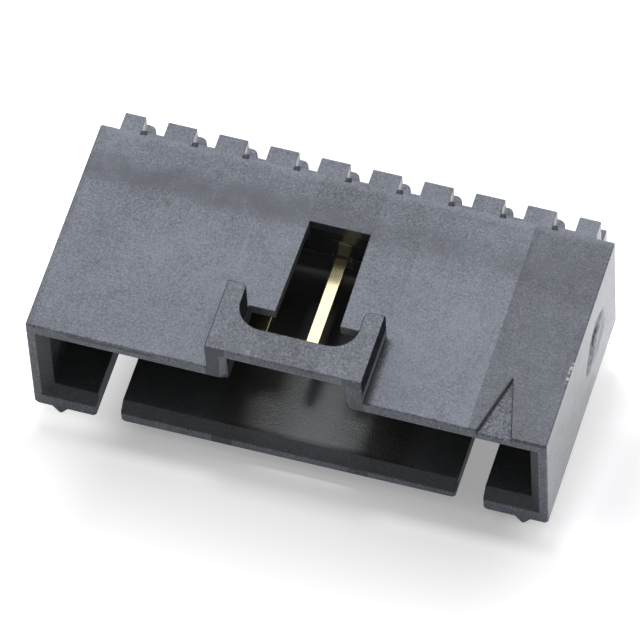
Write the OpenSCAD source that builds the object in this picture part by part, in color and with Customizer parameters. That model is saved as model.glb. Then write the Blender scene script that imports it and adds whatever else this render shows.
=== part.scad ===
// Right-angle shrouded board header: one row of square contacts in a moulded housing
// with a latch bridge over the mouth and a comb behind it that guides the solder tails.
// X runs along the row, the mouth faces -Y, and +Z points up from the board.
// The origin is the middle of the tail row, on the top face of the board.

/* [Row] */
// Distance between neighbouring contacts
pitch = 2.54; // [2.4:0.01:3.2]
// From the last contact to the end face of the housing
end_margin = 2.54; // [2.3:0.01:3.4]

/* [Housing] */
// Mating face to rear face, measured at the ends
body_d = 11.73; // [11:0.01:15]
// Underside to top face
body_h = 6.86; // [6.4:0.01:8]
// Height of the feet that hold the underside off the board
foot_h = 0.45; // [0.25:0.01:1]
// Thickness of the end walls
end_wall = 0.95; // [0.8:0.01:1.3]
// Thickness of the bottom wall
bottom_wall = 1.33; // [1:0.01:1.6]
// Thickness of the top wall
top_wall = 1.2; // [0.9:0.01:1.4]
// Depth of the cavity behind the mating face
cavity_d = 9.1; // [8:0.01:9.6]
// Lead-in chamfer round the mouth
lead_in = 0.5; // [0.2:0.01:0.65]
// Bevel along the two lower outer edges
bottom_bevel = 0.17; // [0.05:0.01:0.4]

/* [Latch bridge] */
// Width over the two legs
bridge_w = 7.68; // [7:0.01:9]
// Thickness of each leg
leg_t = 0.97; // [0.7:0.01:1.2]
// Length of the legs, back from the mating face
leg_len = 3.9; // [3.2:0.01:4.6]
// Reach of the legs behind the end of the passage between them
leg_over = 0.1; // [0.02:0.01:0.3]
// Rise of the bridge above the top face
bridge_rise = 1.76; // [1.4:0.01:2.4]
// Thickness of the plate between the legs
plate_t = 0.98; // [0.7:0.01:1.1]
// Depth of the plate at its middle, in front of the rounded cut
plate_d = 1.62; // [1.2:0.01:2]
// Radius in the corners of the rounded cut
cut_r = 1.22; // [0.6:0.01:1.5]
// Lead-in chamfer under the plate and inside the legs
bridge_lead = 0.36; // [0.15:0.01:0.5]
// Corner rounding at the rear of each leg, on its inner side
leg_round = 0.33; // [0.1:0.01:0.4]

/* [Window and marks] */
// Width of the slot window at its front end
window_front_w = 3.18; // [2.6:0.01:4]
// Width of the slot window at its rear end
window_rear_w = 2.98; // [2.4:0.01:3.6]
// Width of the circuit-one triangle at the mating face
mark_w = 1.66; // [1:0.01:2.2]
// Length of the circuit-one triangle
mark_len = 3.27; // [2:0.01:4]
// Depth of the circuit-one triangle
mark_depth = 0.24; // [0.05:0.01:0.4]
// Moulding gate's centre behind the mating face
gate_back = 8.45; // [7:0.01:9]
// Moulding gate's centre above the underside
gate_rise = 3.61; // [3:0.01:4]
// Diameter of the dish round the moulding gate
gate_d = 3.1; // [2.4:0.01:3.4]
// Diameter of the flat bottom of the dish
gate_flat_d = 1.9; // [1.4:0.01:2.2]
// Depth of the dish round the moulding gate
gate_depth = 0.09; // [0.05:0.01:0.2]
// Diameter of the gate stub left in the dish
gate_stub_d = 1; // [0.6:0.01:1.3]
// Height of the gate stub above the bottom of the dish
gate_stub_h = 0.05; // [0.02:0.01:0.15]

/* [Bottom slots] */
// Width of the slot near circuit one
first_slot_w = 1.34; // [1:0.01:1.6]
// From the circuit-one end face to the middle of its slot
first_slot_inset = 3.87; // [3.5:0.01:4.2]
// Width of the slot near the last circuit
last_slot_w = 1.24; // [1:0.01:1.6]
// From the last circuit's end face to the middle of its slot
last_slot_inset = 3.72; // [3.5:0.01:4.2]
// Length of the two slots, back from the mating face
slot_len = 7.6; // [5:0.01:8]
// Rise of the underside between the slots above that of the ends, at the slot near circuit one
first_lift = 0.36; // [0.05:0.01:0.5]
// The same rise at the slot near the last circuit
last_lift = 0.15; // [0.05:0.01:0.5]
// Bevel on the lower edges of the slots
slot_bevel = 0.15; // [0.05:0.01:0.3]

/* [Feet] */
// From the end face to the middle of a foot
foot_inset = 1.27; // [1:0.01:1.6]
// Width of a foot where it meets the housing
foot_w = 0.8; // [0.6:0.01:1]
// Width of the flat that stands on the board
foot_flat = 0.14; // [0.1:0.01:0.4]
// Length of a foot along the end wall
foot_len = 1.2; // [0.8:0.01:2]

/* [Rear comb] */
// Reach of the upper teeth behind the rear face
tooth_d = 0.97; // [0.6:0.01:1.2]
// Free width between two upper teeth
tooth_gap = 1.1; // [0.95:0.01:1.3]
// Reach of the lower fins behind the rear face
fin_d = 1.85; // [1.5:0.01:2.4]
// Free width beside a tail between two fins, both sides together
fin_clear = 0.11; // [0.05:0.01:0.2]
// Corner rounding of the fins beside the tails
fin_round = 0.35; // [0.15:0.01:0.5]
// Rise of the fins above the contacts
fin_cover = 0.57; // [0.2:0.01:0.8]
// From the end face to the outer side of the comb
comb_inset = 0.95; // [0.5:0.01:1.2]
// Step of the rear face along the comb
comb_step = 0.15; // [0.05:0.01:0.25]
// Width of the relief notch at the root of a tooth
notch_w = 0.3; // [0.15:0.01:0.4]
// Depth of the relief notch at the root of a tooth
notch_d = 0.2; // [0.1:0.01:0.3]

/* [Contacts] */
// Side of the square contact
pin_w = 0.64; // [0.5:0.01:0.7]
// Contact axis above the underside of the housing
pin_rise = 3.96; // [3.5:0.01:4.4]
// Contact tip behind the mating face
pin_recess = 3; // [2:0.01:4]
// Tail axis behind the rear face of the housing
tail_back = 0.97; // [0.85:0.01:1.2]
// Tail length below the top of the board
tail_len = 3.3; // [2.5:0.01:4.5]
// Inner radius of the bend
bend_in = 0.25; // [0.15:0.01:0.35]
// Length of the coined points
point_len = 0.55; // [0.3:0.01:0.9]
// Side of the blunt end of a point
point_w = 0.3; // [0.15:0.01:0.4]
// Free width of a contact in its hole, both sides together
pin_clear = 0.02; // [0.01:0.01:0.05]
// Relief round a contact where it leaves the rear wall of the cavity
relief = 0.15; // [0.05:0.01:0.3]
// Depth of that relief
relief_d = 0.3; // [0.1:0.01:0.6]

/* [Hidden] */
circuits = 9;
$fn = 64;
// Cuts run this far past the faces that they open
over = 0.5;
// Added forms are sunk this far into the body that carries them
lap = 0.2;

body_w = (circuits - 1) * pitch + 2 * end_margin;
rear_y = -tail_back;
front_y = rear_y - body_d;
bottom_z = foot_h;
floor_z = bottom_z + bottom_wall;
top_z = bottom_z + body_h;
pin_z = bottom_z + pin_rise;
bridge_z = top_z + bridge_rise;
passage_w = bridge_w - 2 * leg_t;
passage_d = leg_len - leg_over;
shoulder_y = front_y + passage_d;
cavity_y = front_y + cavity_d;
comb_w = body_w - 2 * comb_inset;
comb_y = rear_y + comb_step;
fin_top = pin_z + pin_w / 2 + fin_cover;
fin_gap = pin_w + fin_clear;
bend_r = bend_in + pin_w / 2;

// Place of a contact along the row, with circuit one at the +X end
function pin_x(k) = (circuits + 1 - 2 * k) * pitch / 2;

// Outline of a pocket between two sides, flared at 45 degrees where it meets the face at zero
function flared(low, high, depth, lead) = [
  [low - lead - over, -over],
  [high + lead + over, -over],
  [high, lead],
  [high, depth],
  [low, depth],
  [low, lead]
];

// The same outline with its two axes exchanged
function turned(outline) = [for (p = outline) [p[1], p[0]]];

// Stands an outline drawn in X and Z up, with its thickness along +Y from zero
module upright(depth) {
  translate([0, depth, 0])
    rotate([90, 0, 0])
      linear_extrude(depth)
        children();
}

// Turns an outline drawn in Y and Z so that its thickness runs along X, about zero
module across(width) {
  rotate([90, 0, 90])
    linear_extrude(width, center = true)
      children();
}

// Pocket that opens at the mating face, with mitred lead-in chamfers on all four sides
module pocket(width, low_z, high_z, depth, lead) {
  flare = lead + over;
  translate([0, front_y, 0])
    intersection() {
      translate([0, 0, low_z - flare])
        linear_extrude(high_z - low_z + 2 * flare)
          polygon(flared(-width / 2, width / 2, depth, lead));
      across(width + 2 * flare)
        polygon(turned(flared(low_z, high_z, depth, lead)));
    }
}

// Solid block of the housing, with its two lower edges bevelled
module body_block() {
  half = body_w / 2;
  translate([0, front_y, 0])
    upright(body_d)
      polygon([
        [-half, bottom_z + bottom_bevel],
        [-half + bottom_bevel, bottom_z],
        [half - bottom_bevel, bottom_z],
        [half, bottom_z + bottom_bevel],
        [half, top_z],
        [-half, top_z]
      ]);
}

// Two legs and the plate across them, before the passage is cut
module bridge_block() {
  translate([-bridge_w / 2, front_y, top_z - lap])
    cube([bridge_w, leg_len, bridge_rise + lap]);
}

// Rounded cut that opens the plate to the rear, with the eased rear corners of the legs
module plate_cut() {
  half = passage_w / 2;
  translate([0, front_y, top_z])
    linear_extrude(bridge_rise + over) {
      translate([-half, plate_d + cut_r])
        square([passage_w, leg_len - plate_d - cut_r + over]);
      translate([-half + cut_r, plate_d])
        square([passage_w - 2 * cut_r, cut_r + over]);
      for (side = [-1, 1]) {
        translate([side * (half - cut_r), plate_d + cut_r])
          circle(cut_r);
        translate([side * half, leg_len])
          leg_ease(side);
      }
    }
}

// Corner left outside the rounding at the rear of one leg
module leg_ease(side) {
  difference() {
    translate([side > 0 ? -lap : -leg_round, -leg_round])
      square([leg_round + lap, leg_round + lap]);
    translate([side * leg_round, -leg_round])
      circle(leg_round);
  }
}

// Slot window in the top wall, slightly wider at the front, from the legs to the cavity's rear wall
module window_cut() {
  translate([0, 0, top_z - top_wall - lap])
    linear_extrude(top_wall + lap + over)
      polygon([
        [-window_front_w / 2, shoulder_y - lap],
        [window_front_w / 2, shoulder_y - lap],
        [window_rear_w / 2, cavity_y],
        [-window_rear_w / 2, cavity_y]
      ]);
}

// Circuit-one triangle in the top face, its base on the mating face
module mark_cut() {
  grow = (mark_len + over) / mark_len;
  translate([pin_x(1), front_y + mark_len, top_z - mark_depth])
    linear_extrude(mark_depth + over)
      polygon([[-mark_w / 2 * grow, -mark_len - over], [mark_w / 2 * grow, -mark_len - over], [0, 0]]);
}

// Shallow dish round the moulding gate's stub in the end face
module gate_cut() {
  translate([body_w / 2 - gate_depth, front_y + gate_back, bottom_z + gate_rise])
    rotate([0, 90, 0])
      difference() {
        union() {
          cylinder(d1 = gate_flat_d, d2 = gate_d, h = gate_depth);
          translate([0, 0, gate_depth])
            cylinder(d = gate_d, h = over);
        }
        translate([0, 0, -lap])
          cylinder(d = gate_stub_d, h = gate_stub_h + lap);
      }
}

// Open slot in the bottom wall, seen with its outer side at +X and the given rise on its inner side
module bottom_slot(width, lift) {
  half = width / 2;
  flare = slot_bevel + over;
  middle_z = bottom_z + lift;
  translate([0, front_y - over, 0])
    upright(slot_len + over)
      polygon([
        [-half - flare, middle_z - over],
        [half + flare, bottom_z - over],
        [half, bottom_z + slot_bevel],
        [half, floor_z + lap],
        [-half, floor_z + lap],
        [-half, middle_z + slot_bevel]
      ]);
}

// Both slots, and the raised underside of the bottom wall between them
module bottom_cuts() {
  first_x = body_w / 2 - first_slot_inset;
  last_x = last_slot_inset - body_w / 2;
  translate([first_x, 0, 0])
    bottom_slot(first_slot_w, first_lift);
  translate([last_x, 0, 0])
    mirror([1, 0, 0])
      bottom_slot(last_slot_w, last_lift);
  translate([0, front_y - over, bottom_z])
    upright(slot_len + over)
      polygon([[last_x, -over], [first_x, -over], [first_x, first_lift], [last_x, last_lift]]);
}

// One tapered foot, with its front at the given place along Y
module foot(side, start_y) {
  translate([side * (body_w / 2 - foot_inset), start_y, 0])
    upright(foot_len)
      polygon([
        [-foot_flat / 2, 0],
        [foot_flat / 2, 0],
        [foot_w / 2, bottom_z],
        [foot_w / 2, bottom_z + lap],
        [-foot_w / 2, bottom_z + lap],
        [-foot_w / 2, bottom_z]
      ]);
}

// Left and right side of one land of the comb, where neighbouring lands stand a gap apart
function land_low(i, gap) = i == 0 ? -comb_w / 2 : pin_x(circuits + 1 - i) + gap / 2;
function land_high(i, gap) = i == circuits ? comb_w / 2 : pin_x(circuits - i) - gap / 2;

// Upper tooth of one land, flush with the top face
module tooth(i) {
  low = land_low(i, tooth_gap);
  translate([low, rear_y - lap, fin_top - lap])
    cube([land_high(i, tooth_gap) - low, tooth_d + lap, top_z - fin_top + lap]);
}

// Lower fin of one land, rounded beside the tails and square at the ends of the comb
module fin(i) {
  low = land_low(i, fin_gap);
  high = land_high(i, fin_gap);
  low_r = i == 0 ? 0 : fin_round;
  high_r = i == circuits ? 0 : fin_round;
  translate([0, rear_y, bottom_z])
    linear_extrude(fin_top - bottom_z) {
      translate([low, -lap])
        square([high - low, fin_d - fin_round + lap]);
      translate([low + low_r, 0])
        square([high - low - low_r - high_r, fin_d]);
      for (x = [low + fin_round, high - fin_round])
        translate([x, fin_d - fin_round])
          circle(fin_round);
    }
}

// Comb behind the housing, with the stepped rear face that it grows from
module rear_comb() {
  translate([-comb_w / 2, rear_y - lap, bottom_z])
    cube([comb_w, comb_step + lap, body_h]);
  for (i = [0 : circuits]) {
    tooth(i);
    fin(i);
  }
}

// Hole through the rear wall with its relief, and the notch beside it, for one contact
module contact_cuts(k) {
  hole_w = pin_w + pin_clear;
  relief_w = pin_w + 2 * relief;
  translate([pin_x(k) - relief_w / 2, cavity_y - over, pin_z - relief_w / 2])
    cube([relief_w, relief_d + over, relief_w]);
  translate([pin_x(k) - hole_w / 2, cavity_y - over, pin_z - hole_w / 2])
    cube([hole_w, rear_y + comb_step - cavity_y + 2 * over, hole_w]);
  translate([pin_x(k) - tooth_gap / 2, comb_y - notch_d, fin_top])
    cube([notch_w, notch_d + over, top_z - fin_top + over]);
}

// Moulded housing
module housing() {
  color([0.2, 0.2, 0.22])
    difference() {
      union() {
        body_block();
        bridge_block();
        rear_comb();
        for (side = [-1, 1], start_y = [front_y, rear_y - foot_len])
          foot(side, start_y);
      }
      pocket(body_w - 2 * end_wall, floor_z, top_z - top_wall, cavity_d, lead_in);
      pocket(passage_w, pin_z, bridge_z - plate_t, passage_d, bridge_lead);
      plate_cut();
      window_cut();
      mark_cut();
      gate_cut();
      bottom_cuts();
      for (k = [1 : circuits])
        contact_cuts(k);
    }
}

// Coined point of a contact, from the full square at zero up to its blunt end
module point() {
  sides = [[-pin_w / 2, 0], [pin_w / 2, 0], [point_w / 2, point_len], [-point_w / 2, point_len]];
  intersection() {
    rotate([90, 0, 0])
      linear_extrude(pin_w, center = true)
        polygon(sides);
    across(pin_w)
      polygon(sides);
  }
}

// Square contact: point, straight run through the rear wall, bend and solder tail
module contact_pin(k) {
  run_start = front_y + pin_recess + point_len;
  tail_end = point_len - tail_len;
  color([0.83, 0.68, 0.36])
    translate([pin_x(k), 0, 0]) {
      translate([0, run_start, pin_z])
        rotate([90, 0, 0])
          point();
      translate([-pin_w / 2, run_start, pin_z - pin_w / 2])
        cube([pin_w, -bend_r - run_start, pin_w]);
      translate([0, -bend_r, pin_z - bend_r])
        rotate([90, 0, 90])
          rotate_extrude(angle = 90)
            translate([bend_in, -pin_w / 2])
              square(pin_w);
      translate([-pin_w / 2, -pin_w / 2, tail_end])
        cube([pin_w, pin_w, pin_z - bend_r - tail_end]);
      translate([0, 0, tail_end])
        rotate([180, 0, 0])
          point();
    }
}

housing();
for (k = [1 : circuits])
  contact_pin(k);
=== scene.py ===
"""Dresses a right-angle board header: grained black housing, plated contacts, studio and camera.

All sizes are in millimetres in the part's own frame, where X runs along the row of contacts, the
mouth faces -Y, +Z points up from the board and the origin is the middle of the row of tails.
"""

import logging
import math
from dataclasses import dataclass, field, replace
from enum import Enum
from functools import cached_property

import bmesh
import bpy
from mathutils import Matrix, Vector


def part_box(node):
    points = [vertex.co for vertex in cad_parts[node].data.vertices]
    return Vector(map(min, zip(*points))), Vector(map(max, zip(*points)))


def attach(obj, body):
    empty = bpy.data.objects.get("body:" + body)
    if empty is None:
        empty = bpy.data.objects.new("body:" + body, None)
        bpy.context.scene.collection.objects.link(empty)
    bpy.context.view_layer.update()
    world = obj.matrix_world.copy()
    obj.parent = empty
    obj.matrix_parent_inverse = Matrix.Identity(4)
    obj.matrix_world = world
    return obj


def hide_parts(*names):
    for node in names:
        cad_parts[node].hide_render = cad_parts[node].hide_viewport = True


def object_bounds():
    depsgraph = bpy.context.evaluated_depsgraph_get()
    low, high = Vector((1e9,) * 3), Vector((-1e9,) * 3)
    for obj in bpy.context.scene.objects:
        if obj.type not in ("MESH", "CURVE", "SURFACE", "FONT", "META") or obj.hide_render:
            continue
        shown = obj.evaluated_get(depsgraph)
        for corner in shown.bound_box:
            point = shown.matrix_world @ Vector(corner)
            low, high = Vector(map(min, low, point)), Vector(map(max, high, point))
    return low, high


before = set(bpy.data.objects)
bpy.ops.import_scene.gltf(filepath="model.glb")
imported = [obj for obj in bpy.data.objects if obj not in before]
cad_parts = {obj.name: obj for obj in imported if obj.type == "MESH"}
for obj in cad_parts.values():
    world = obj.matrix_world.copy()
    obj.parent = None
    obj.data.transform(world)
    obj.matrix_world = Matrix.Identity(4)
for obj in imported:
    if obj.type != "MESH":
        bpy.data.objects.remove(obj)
CAD_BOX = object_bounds()

MM = 0.001
WHITE = (1.0, 1.0, 1.0, 1.0)
FLAT_ANGLE = 0.2
LOG = logging.getLogger("board_header")

Colour = tuple[float, float, float]
Point = tuple[float, float, float]
Room = tuple[Point, Point]
Socket = bpy.types.NodeSocket
Axes = tuple[Socket, ...]
Term = tuple[Socket, object]


class Ray(Enum):
    """Kinds of ray that a backdrop shows its own white to, by the Light Path output's name."""

    CAMERA = "Is Camera Ray"
    GLOSSY = "Is Glossy Ray"
    TRANSMISSION = "Is Transmission Ray"


@dataclass(frozen=True)
class Ramp:
    """Two values between which a mask goes from one level to another on an S curve."""

    start: float
    end: float
    low: float = 0.0
    high: float = 1.0

    def past(self, plane: float) -> "Ramp":
        """Returns the ramp with its two values counted from a plane."""
        return replace(self, start=plane + self.start, end=plane + self.end)


@dataclass(frozen=True)
class Grain:
    """Noise with grains of about one size, in millimetres, and some finer layers in it."""

    size: float
    detail: float = 2.0


@dataclass
class ShaderBoard:
    """A node tree with short calls for the nodes that the finishes use."""

    tree: bpy.types.NodeTree

    def add(self, kind: str, **settings: object) -> bpy.types.Node:
        """Adds one node.

        Args:
            kind: The node's type name.
            **settings: Values for the node's own properties.

        Returns:
            The new node.
        """
        node = self.tree.nodes.new(kind)
        for name, value in settings.items():
            setattr(node, name, value)
        return node

    def join(self, source: object, socket: Socket) -> None:
        """Feeds a socket from another one, or sets it to a plain value.

        Args:
            source: A socket, a number or a colour.
            socket: The socket that takes it.
        """
        if isinstance(source, Socket):
            self.tree.links.new(source, socket)
        else:
            socket.default_value = source

    def place_mm(self) -> Socket:
        """Finds the point on the part.

        Returns:
            The socket of its place, in millimetres.
        """
        coords = self.add("ShaderNodeTexCoord")
        scaled = self.add("ShaderNodeVectorMath", operation="SCALE")
        self.join(coords.outputs["Object"], scaled.inputs[0])
        scaled.inputs["Scale"].default_value = 1 / MM
        return scaled.outputs["Vector"]

    def axes(self, vector: Socket) -> Axes:
        """Splits a vector.

        Args:
            vector: The vector's socket.

        Returns:
            The sockets of its X, Y and Z.
        """
        split = self.add("ShaderNodeSeparateXYZ")
        self.join(vector, split.inputs[0])
        return tuple(split.outputs)

    def facing(self) -> Axes:
        """Returns the X, Y and Z of the direction that the surface faces on the part."""
        return self.axes(self.add("ShaderNodeTexCoord").outputs["Normal"])

    def math(self, operation: str, *values: object) -> Socket:
        """Joins numbers by a sum, product or other operation.

        Args:
            operation: Name of the Math node's operation.
            *values: Sockets or numbers, as many as the operation takes.

        Returns:
            The result's socket.
        """
        node = self.add("ShaderNodeMath", operation=operation)
        for value, socket in zip(values, node.inputs):
            self.join(value, socket)
        return node.outputs[0]

    def total(self, start: float, *terms: Term, clamp: bool = False) -> Socket:
        """Adds weighted noises and masks to a number.

        Args:
            start: The number to start from.
            *terms: Pairs of a socket and its weight.
            clamp: Whether the result is kept between zero and one.

        Returns:
            The sum's socket.
        """
        result: object = start
        for value, weight in terms:
            result = self.math("MULTIPLY_ADD", value, weight, result)
        result.node.use_clamp = clamp
        return result

    def both(self, *masks: object) -> Socket:
        """Multiplies masks.

        Args:
            *masks: Sockets or shares.

        Returns:
            The socket of their product, which is one only where all of them are.
        """
        result = masks[0]
        for mask in masks[1:]:
            result = self.math("MULTIPLY", result, mask)
        return result

    def any_of(self, *masks: object) -> Socket:
        """Takes the highest of masks.

        Args:
            *masks: Sockets.

        Returns:
            The result's socket.
        """
        result = masks[0]
        for mask in masks[1:]:
            result = self.math("MAXIMUM", result, mask)
        return result

    def offset(self, value: Socket, middle: float) -> Socket:
        """Returns how far a value is from a middle, on either side of it."""
        return self.math("ABSOLUTE", self.math("SUBTRACT", value, middle))

    def band(self, value: Socket, start: float, end: float, soft: float) -> Socket:
        """Returns a mask that is one between two ends and fades out over a soft width past both."""
        half = abs(end - start) / 2
        return self.span(self.offset(value, (start + end) / 2), Ramp(half, half + soft, 1.0, 0.0))

    def in_room(self, axes: Axes, room: Room) -> Socket:
        """Marks the inside of a box.

        Args:
            axes: Sockets of the X, Y and Z of a point.
            room: The box's lowest and highest corner.

        Returns:
            The mask's socket.
        """
        sides = [
            self.math("COMPARE", axis, (low + high) / 2, (high - low) / 2)
            for axis, low, high in zip(axes, *room)
        ]
        return self.both(*sides)

    def in_rooms(self, axes: Axes, rooms: tuple[Room, ...]) -> Socket:
        """Returns a mask for the inside of several boxes."""
        return self.any_of(*(self.in_room(axes, room) for room in rooms))

    def span(self, value: Socket, ramp: Ramp) -> Socket:
        """Maps a number by a ramp, and holds it past the ramp's ends.

        Args:
            value: A socket.
            ramp: The ramp.

        Returns:
            The result's socket.
        """
        node = self.add("ShaderNodeMapRange", interpolation_type="SMOOTHSTEP")
        for name, number in (
            ("From Min", ramp.start), ("From Max", ramp.end), ("To Min", ramp.low), ("To Max", ramp.high)
        ):
            node.inputs[name].default_value = number
        self.join(value, node.inputs["Value"])
        return node.outputs["Result"]

    def noise(self, place: Socket, grain: Grain) -> Socket:
        """Makes noise that lies about zero, from -0.5 to 0.5.

        Args:
            place: Where the noise is read.
            grain: The noise's size and detail.

        Returns:
            The noise's socket.
        """
        node = self.add("ShaderNodeTexNoise")
        self.join(place, node.inputs["Vector"])
        node.inputs["Scale"].default_value = 1 / grain.size
        node.inputs["Detail"].default_value = grain.detail
        return self.math("SUBTRACT", node.outputs["Fac"], 0.5)

    def blend(self, share: object, first: object, second: object) -> Socket:
        """Mixes two colours.

        Args:
            share: How much of the second colour there is, from zero to one.
            first: A socket or a colour.
            second: A socket or a colour.

        Returns:
            The mixed colour's socket.
        """
        node = self.add("ShaderNodeMix", data_type="RGBA")
        self.join(share, node.inputs["Factor"])
        for source, socket in ((first, node.inputs[6]), (second, node.inputs[7])):
            self.join((*source, 1.0) if isinstance(source, tuple) else source, socket)
        return node.outputs[2]

    def bump(self, height: Socket, depth: float) -> Socket:
        """Shows a height as relief.

        Args:
            height: The height's socket.
            depth: How deep a height of one is, in millimetres.

        Returns:
            The socket of the bent normal.
        """
        node = self.add("ShaderNodeBump")
        node.inputs["Strength"].default_value = 1.0
        node.inputs["Distance"].default_value = depth * MM
        self.join(height, node.inputs["Height"])
        return node.outputs["Normal"]


@dataclass(frozen=True)
class Spot:
    """A shaded point on the part, as sockets: its place in millimetres and the way it faces."""

    board: ShaderBoard
    place: Socket
    x: Socket
    y: Socket
    z: Socket
    sideways: Socket
    face_y: Socket
    face_z: Socket

    @classmethod
    def on(cls, board: ShaderBoard) -> "Spot":
        """Reads the point that a board shades.

        Args:
            board: The board.

        Returns:
            The point.
        """
        place = board.place_mm()
        face_x, face_y, face_z = board.facing()
        return cls(board, place, *board.axes(place), board.math("ABSOLUTE", face_x), face_y, face_z)

    @property
    def axes(self) -> Axes:
        """The X, Y and Z of the place."""
        return self.x, self.y, self.z

    def noise(self, grain: Grain) -> Socket:
        """Returns noise at the place."""
        return self.board.noise(self.place, grain)

    def patches(self, grain: Grain, ramp: Ramp) -> Socket:
        """Returns noise at the place, mapped by a ramp."""
        return self.board.span(self.noise(grain), ramp)


def new_material(name: str) -> tuple[bpy.types.Material, ShaderBoard, bpy.types.Node]:
    """Makes a material with one surface shader.

    Args:
        name: The material's name.

    Returns:
        The material, its board and its surface shader.
    """
    material = bpy.data.materials.new(name)
    material.use_nodes = True
    material.node_tree.nodes.clear()
    board = ShaderBoard(material.node_tree)
    shader = board.add("ShaderNodeBsdfPrincipled")
    output = board.add("ShaderNodeOutputMaterial")
    board.join(shader.outputs["BSDF"], output.inputs["Surface"])
    return material, board, shader


@dataclass(frozen=True)
class HousingPlan:
    """Main planes of the housing, from its box in the frame and its wall sizes."""

    end_wall: float = 0.95
    bottom_wall: float = 1.33
    top_wall: float = 1.2
    foot_rise: float = 0.45
    cavity_depth: float = 9.1
    lead_in: float = 0.5
    bridge_rise: float = 1.76
    bridge_width: float = 7.68
    leg_width: float = 0.97
    leg_depth: float = 3.9
    leg_over: float = 0.1
    bridge_lead: float = 0.36
    groove_wall: float = 0.58
    groove_stop: float = 0.3
    window_width: float = 3.18
    comb_rear: float = -0.82
    comb_inset: float = 0.05
    notch_depth: float = 0.2
    mark_depth: float = 0.24
    mark_length: float = 3.27
    mark_width: float = 1.66
    mark_inset: float = 2.54
    mark_margin: float = 0.2
    mark_skin: float = 0.05
    gate_back: float = 8.45
    gate_rise: float = 3.61
    skin: float = 0.02

    @cached_property
    def corners(self) -> tuple[Vector, Vector]:
        """Lowest and highest corner of the housing."""
        low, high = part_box("housing")
        return Vector(low) / MM, Vector(high) / MM

    @property
    def half_width(self) -> float:
        """Half of the width along the row."""
        return self.corners[1].x

    @property
    def front(self) -> float:
        """Y of the mating face."""
        return self.corners[0].y

    @property
    def top(self) -> float:
        """Z of the top face, under the bridge's rise."""
        return self.corners[1].z - self.bridge_rise

    @property
    def cavity_floor(self) -> float:
        """Z of the cavity's floor."""
        return self.foot_rise + self.bottom_wall

    @property
    def cavity_rear(self) -> float:
        """Y of the cavity's rear wall."""
        return self.front + self.cavity_depth

    @property
    def bridge_side(self) -> float:
        """X of the bridge's outer side at circuit one."""
        return self.bridge_width / 2

    @property
    def leg_side(self) -> float:
        """X of the inner side of the bridge's leg at circuit one."""
        return self.bridge_side - self.leg_width

    @property
    def leg_rear(self) -> float:
        """Y of the rear of the bridge's legs."""
        return self.front + self.leg_depth

    @property
    def shoulder(self) -> float:
        """Y of the end of the passage between the bridge's legs."""
        return self.leg_rear - self.leg_over

    @property
    def gate(self) -> Point:
        """Middle of the moulding gate on the end face at circuit one."""
        return self.half_width, self.front + self.gate_back, self.foot_rise + self.gate_rise

    @property
    def mark_apex(self) -> tuple[float, float]:
        """X and Y of the rear tip of the circuit-one triangle."""
        return self.half_width - self.mark_inset, self.front + self.mark_length

    def mark_room(self) -> Room:
        """Finds the floor of the circuit-one triangle.

        Returns:
            The box that holds it.
        """
        floor, (middle, rear) = self.top - self.mark_depth, self.mark_apex
        reach = self.mark_width / 2 + self.mark_margin
        return (
            (middle - reach, self.front - self.mark_margin, floor - self.mark_skin),
            (middle + reach, rear, floor + self.mark_skin),
        )

    def cavity_rooms(self) -> tuple[Room, ...]:
        """Finds the cavity, its lead-in and the passage under the bridge.

        Returns:
            The boxes that hold them.
        """
        skin, lead = self.skin, self.lead_in
        wide, narrow = self.half_width - self.end_wall + skin, self.leg_side + skin
        mouth, throat, back = self.front + skin, self.front + self.bridge_lead, self.cavity_rear + skin
        floor, ceiling = self.cavity_floor - skin, self.top - self.top_wall + skin
        return (
            ((-wide, mouth, floor), (wide, back, ceiling)),
            ((-wide - lead, mouth, floor - lead), (wide + lead, self.front + lead, ceiling + lead)),
            ((-narrow, throat, ceiling - skin), (narrow, back, self.top - self.groove_wall)),
        )

    def edge_rooms(self) -> tuple[Room, ...]:
        """Finds the walls of the slot window and the inner sides of the bridge's legs.

        Returns:
            The boxes that hold them.
        """
        skin = self.skin
        window, narrow = self.window_width / 2 + skin, self.leg_side + skin
        low, bridge = self.top - self.groove_wall, self.corners[1].z - skin
        return (
            ((-window, self.shoulder - skin, low), (window, self.cavity_rear + skin, self.top - skin)),
            ((-narrow, self.front + self.bridge_lead, low), (narrow, self.shoulder + skin, bridge)),
        )

    def comb_room(self) -> Room:
        """Finds the spaces between the upper teeth, with their relief notches.

        Returns:
            The box that holds them.
        """
        reach = self.half_width - self.end_wall - self.comb_inset
        front = self.comb_rear - self.notch_depth - self.skin
        return (-reach, front, self.cavity_floor), (reach, self.corners[1].y, self.top - self.skin)


@dataclass(frozen=True)
class Patch:
    """Patch between ramps along X and along Y, which may lighten or darken what it lies on."""

    along_x: tuple[Ramp, ...]
    along_y: tuple[Ramp, ...]
    tone: float = 0.0

    def mask(self, board: ShaderBoard, x: Socket, y: Socket) -> Socket:
        """Returns the patch's mask, from the X and the Y of the shaded point."""
        across = (board.span(x, ramp) for ramp in self.along_x)
        return board.both(*across, *(board.span(y, ramp) for ramp in self.along_y))


@dataclass(frozen=True)
class MouldLine:
    """Fine line that the joint between two mould inserts leaves along Y on the top face."""

    x: float
    rear: float
    front: float
    half_width: float
    tone: float
    fade: float = 0.4

    def mask(self, spot: Spot, top: Socket) -> Socket:
        """Marks the line.

        Args:
            spot: The shaded point.
            top: The top face's mask.

        Returns:
            The line's mask.
        """
        across = spot.board.band(spot.x, self.x, self.x, self.half_width * 2)
        along = spot.board.band(spot.y, self.front, self.rear, self.fade)
        return spot.board.both(across, along, top)


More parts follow.
